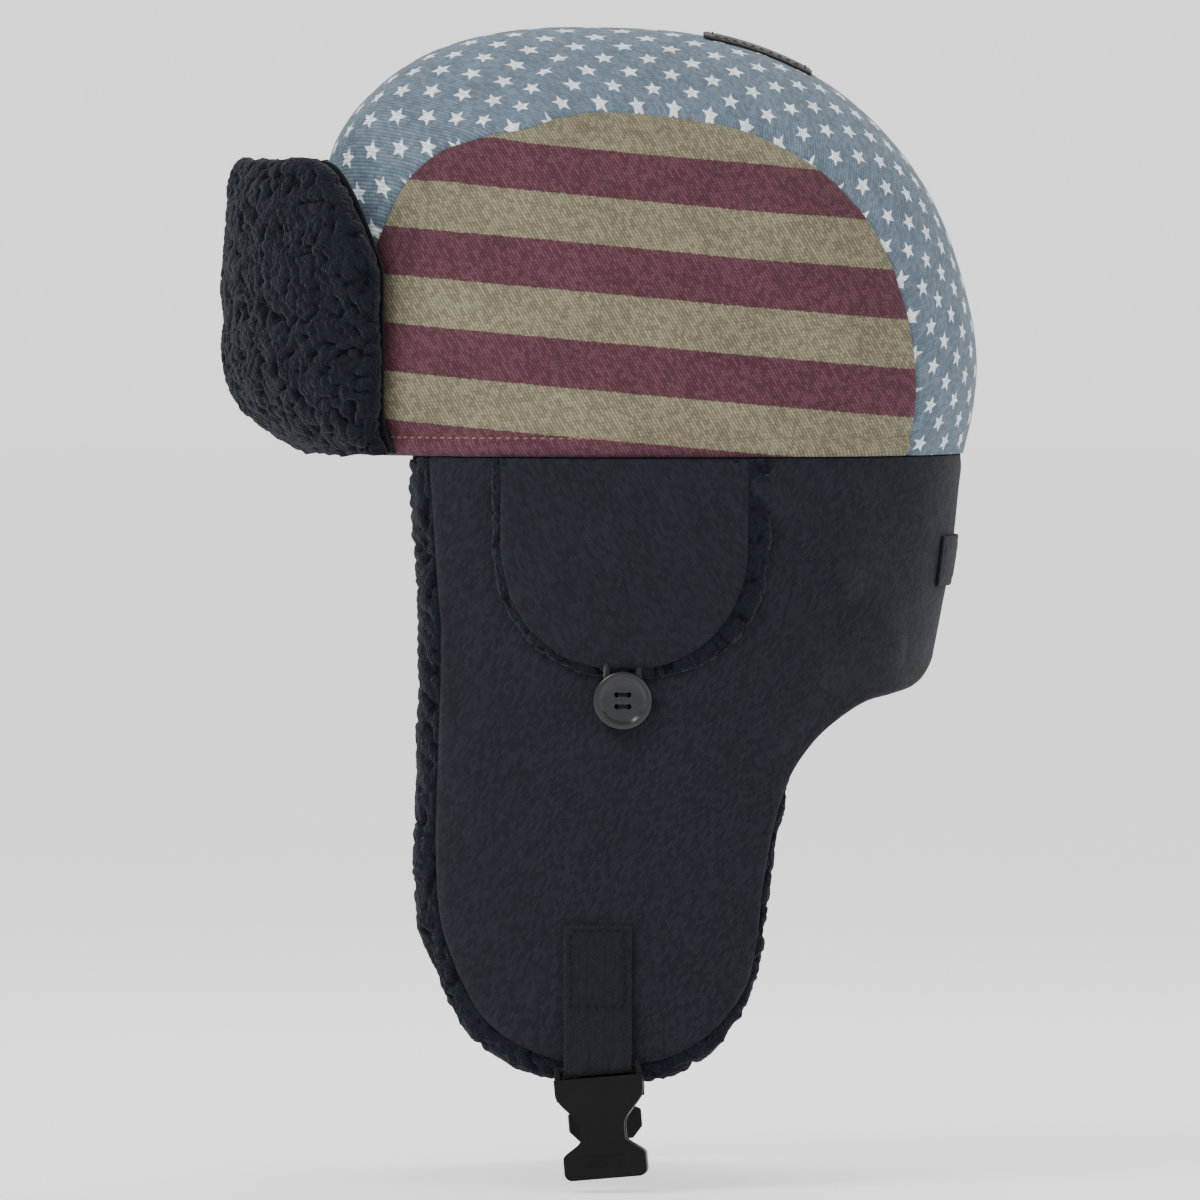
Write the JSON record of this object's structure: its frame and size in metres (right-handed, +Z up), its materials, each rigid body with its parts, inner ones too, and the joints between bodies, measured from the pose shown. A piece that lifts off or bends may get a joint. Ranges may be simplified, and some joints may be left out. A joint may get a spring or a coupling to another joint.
{
  "type": "trapper hat",
  "caption": "Trapper hat with a padded dome crown, fleece-faced turned-up visor, long ear flaps with buttoned tabs, a neck flap and a side-release chin buckle.",
  "frame": {"origin": "centre of the head opening, in the plane of the seam between the crown and the flaps", "axes": "+Z up to the top of the crown, -Y to the front visor, +X to the wearer's left"},
  "size_m": [0.2079, 0.2579, 0.3899],
  "materials": {
    "star_cloth": "washed denim twill with small pale stars",
    "stripe_cloth": "washed twill in khaki and maroon bands",
    "navy_twill": "brushed cotton twill",
    "sherpa": "curly sherpa pile",
    "batting": "soft polyester batting",
    "lining": "quilted satin",
    "sweatband": "ribbed tape",
    "interfacing": "stiff non-woven",
    "patch_leather": "worn leather, blank",
    "label": "woven tape, blank",
    "webbing": "herringbone webbing",
    "elastic": "braided elastic",
    "thread": "sewing thread",
    "button_plastic": "polished",
    "buckle_plastic": "moulded, fine grain"
  },
  "bodies": {
    "crown": {"crown_centre_panel": "star_cloth", "crown_left_panel": "stripe_cloth", "crown_right_panel": "stripe_cloth", "crown_batting": "batting", "crown_lining": "lining", "sweatband": "sweatband", "crown_patch": "patch_leather", "care_label": "label", "neck_shell": "navy_twill", "neck_fleece": "sherpa", "neck_tab": "navy_twill"},
    "visor": {"visor_shell": "navy_twill", "visor_interfacing": "interfacing", "visor_fleece": "sherpa"},
    "left_flap": {"left_flap_shell": "navy_twill", "left_flap_fleece": "sherpa", "left_button": "button_plastic", "left_button_thread": "thread", "left_strap_sewn": "webbing"},
    "left_tab": {"left_tab_shell": "navy_twill", "left_tab_pile": "sherpa", "left_tab_loop": "elastic"},
    "left_strap": {"left_strap_loop": "webbing"},
    "right_flap": {"right_flap_shell": "navy_twill", "right_flap_fleece": "sherpa", "right_button": "button_plastic", "right_button_thread": "thread", "right_strap_sewn": "webbing"},
    "right_tab": {"right_tab_shell": "navy_twill", "right_tab_pile": "sherpa", "right_tab_loop": "elastic"},
    "right_strap": {"right_strap_loop": "webbing"},
    "left_buckle": {"buckle_socket": "buckle_plastic"},
    "right_buckle": {"buckle_plug": "buckle_plastic"},
    "prong_front": {"plug_prong_front": "buckle_plastic"},
    "prong_rear": {"plug_prong_rear": "buckle_plastic"}
  },
  "joints": [
    {"name": "visor_fold", "type": "hinge", "parent": "crown", "child": "visor", "pos_m": [0, -0.1064, 0], "axis": [1, 0, 0], "range_deg": [0, 100]},
    {"name": "left_flap_fold", "type": "hinge", "parent": "crown", "child": "left_flap", "pos_m": [0.0845, -0.02, -0.001], "axis": [-0.1585, -0.9874, 0], "range_deg": [0, 155]},
    {"name": "left_tab_open", "type": "hinge", "parent": "left_flap", "child": "left_tab", "pos_m": [0.0845, -0.02, -0.001], "axis": [0.1585, 0.9874, 0], "range_deg": [-120, 0]},
    {"name": "left_strap_swing", "type": "hinge", "parent": "left_flap", "child": "left_strap", "pos_m": [0.09581, -0.0185, -0.187], "axis": [-0.0948, -0.9955, 0], "range_deg": [0, 60]},
    {"name": "left_buckle_swing", "type": "hinge", "parent": "left_strap", "child": "left_buckle", "pos_m": [0.09878, -0.0185, -0.20551], "axis": [-0.0944, -0.9917, -0.0872], "range_deg": [-35, 40]},
    {"name": "right_flap_fold", "type": "hinge", "parent": "crown", "child": "right_flap", "pos_m": [-0.0845, -0.02, -0.001], "axis": [-0.1585, 0.9874, 0], "range_deg": [0, 155]},
    {"name": "right_tab_open", "type": "hinge", "parent": "right_flap", "child": "right_tab", "pos_m": [-0.0845, -0.02, -0.001], "axis": [0.1585, -0.9874, 0], "range_deg": [-120, 0]},
    {"name": "right_strap_swing", "type": "hinge", "parent": "right_flap", "child": "right_strap", "pos_m": [-0.09581, -0.0185, -0.187], "axis": [-0.0948, 0.9955, 0], "range_deg": [0, 60]},
    {"name": "right_buckle_swing", "type": "hinge", "parent": "right_strap", "child": "right_buckle", "pos_m": [-0.09878, -0.0185, -0.20551], "axis": [-0.0944, 0.9917, 0.0872], "range_deg": [-35, 40]},
    {"name": "prong_front_flex", "type": "hinge", "parent": "right_buckle", "child": "prong_front", "pos_m": [-0.09816, -0.0251, -0.22155], "axis": [0.9955, 0.0948, 0], "range_deg": [0, 7], "stiffness_Nm_per_rad": 0.02},
    {"name": "prong_rear_flex", "type": "hinge", "parent": "right_buckle", "child": "prong_rear", "pos_m": [-0.09967, -0.00923, -0.22016], "axis": [-0.9955, -0.0948, 0], "range_deg": [0, 7], "stiffness_Nm_per_rad": 0.02}
  ],
  "couplings": [
    {"joint": "prong_rear_flex", "follows": "prong_front_flex", "ratio": 1}
  ]
}
